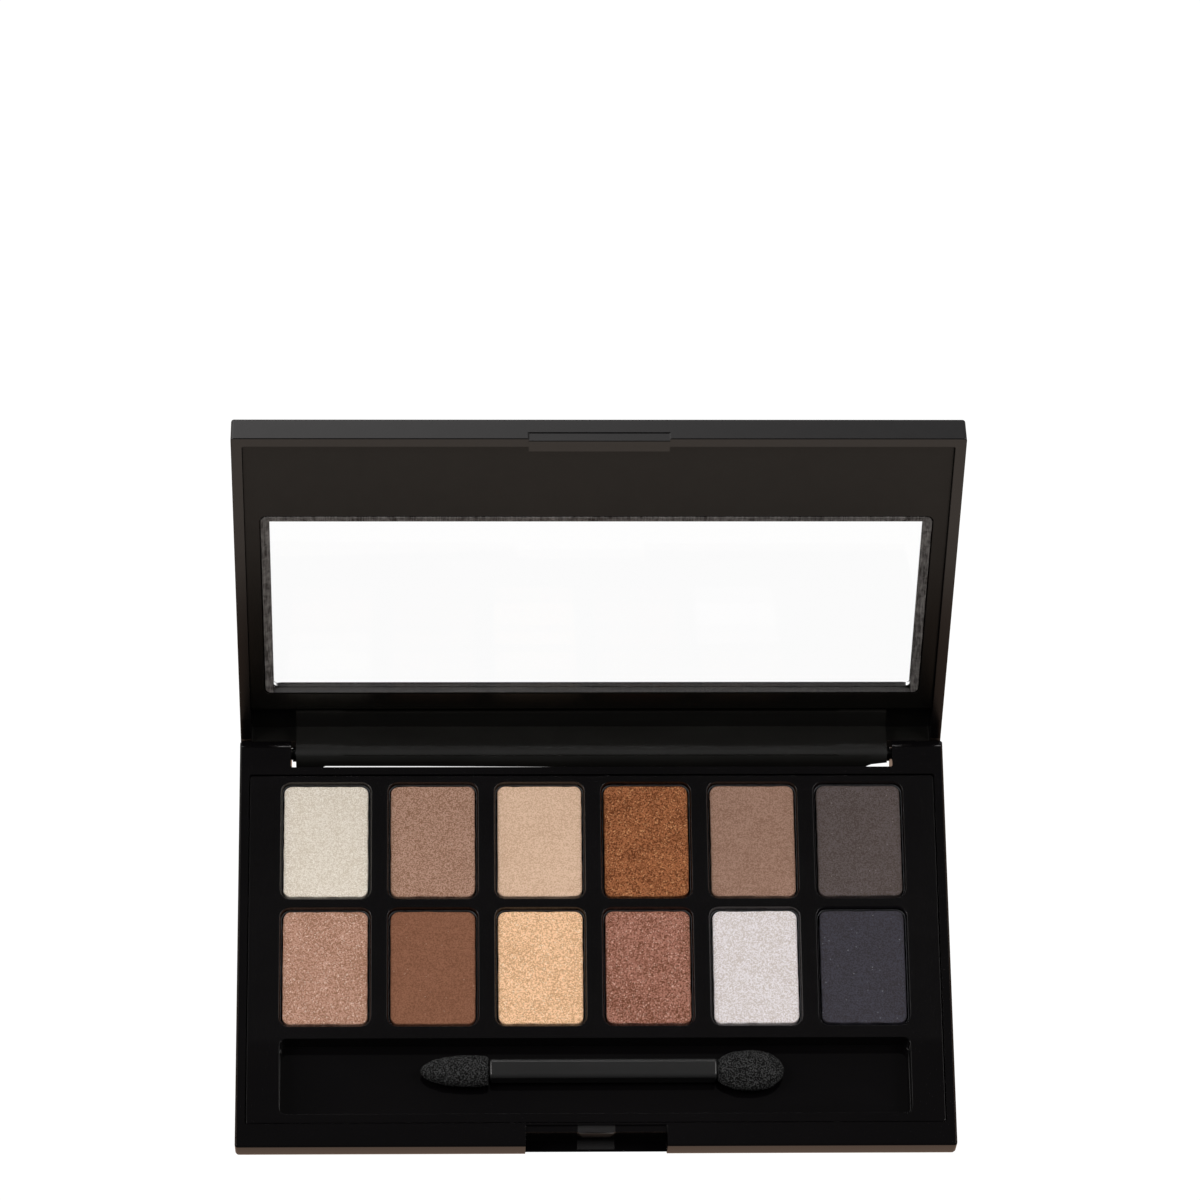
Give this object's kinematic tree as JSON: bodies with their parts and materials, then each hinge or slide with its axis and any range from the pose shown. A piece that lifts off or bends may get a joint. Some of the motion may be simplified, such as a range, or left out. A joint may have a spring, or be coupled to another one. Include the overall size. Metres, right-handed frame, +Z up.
{
  "type": "eyeshadow palette",
  "caption": "Slim hinged case with a see-through lid window, pressed powder shades in metal pans and a double-ended foam applicator in a front well.",
  "frame": {"origin": "centre of the base's flat underside", "axes": "+Z up, +X along the case's long side, -Y towards the user and the latch, +Y towards the hinge"},
  "size_m": [0.122, 0.107, 0.0694],
  "materials": {
    "case_plastic": "glossy",
    "insert_plastic": "glossy",
    "frame_plastic": "satin",
    "clear_plastic": "clear polished",
    "pan_metal": "thin pressed metal",
    "pin_steel": "drawn wire",
    "stick_plastic": "glossy",
    "foam_narrow": "fine open-cell foam",
    "foam_wide": "fine open-cell foam",
    "powder_01": "pressed powder, shimmer",
    "powder_02": "pressed powder, shimmer",
    "powder_03": "pressed powder, matte",
    "powder_04": "pressed powder, shimmer",
    "powder_05": "pressed powder, matte",
    "powder_06": "pressed powder, matte",
    "powder_07": "pressed powder, shimmer",
    "powder_08": "pressed powder, matte",
    "powder_09": "pressed powder, shimmer",
    "powder_10": "pressed powder, shimmer",
    "powder_11": "pressed powder, shimmer",
    "powder_12": "pressed powder, matte"
  },
  "bodies": {
    "case_base": {"base_shell": "case_plastic", "insert_panel": "insert_plastic", "pan_01": "pan_metal", "pan_02": "pan_metal", "pan_03": "pan_metal", "pan_04": "pan_metal", "pan_05": "pan_metal", "pan_06": "pan_metal", "pan_07": "pan_metal", "pan_08": "pan_metal", "pan_09": "pan_metal", "pan_10": "pan_metal", "pan_11": "pan_metal", "pan_12": "pan_metal", "powder_01": "powder_01", "powder_02": "powder_02", "powder_03": "powder_03", "powder_04": "powder_04", "powder_05": "powder_05", "powder_06": "powder_06", "powder_07": "powder_07", "powder_08": "powder_08", "powder_09": "powder_09", "powder_10": "powder_10", "powder_11": "powder_11", "powder_12": "powder_12", "hinge_pin_left": "pin_steel", "hinge_pin_right": "pin_steel"},
    "lid": {"lid_cover": "case_plastic", "lid_inner_frame": "frame_plastic", "window_pane": "clear_plastic"},
    "applicator": {"applicator_stick": "stick_plastic", "foam_tip_narrow": "foam_narrow", "foam_tip_wide": "foam_wide"}
  },
  "joints": [
    {"name": "lid_hinge", "type": "hinge", "parent": "case_base", "child": "lid", "pos_m": [0, 0.0352, 0.0043], "axis": [1, 0, 0], "range_deg": [0, 113]},
    {"name": "applicator_slide", "type": "slide", "parent": "case_base", "child": "applicator", "axis": [1, 0, 0], "range_m": [-0.0236, 0.0208]}
  ]
}
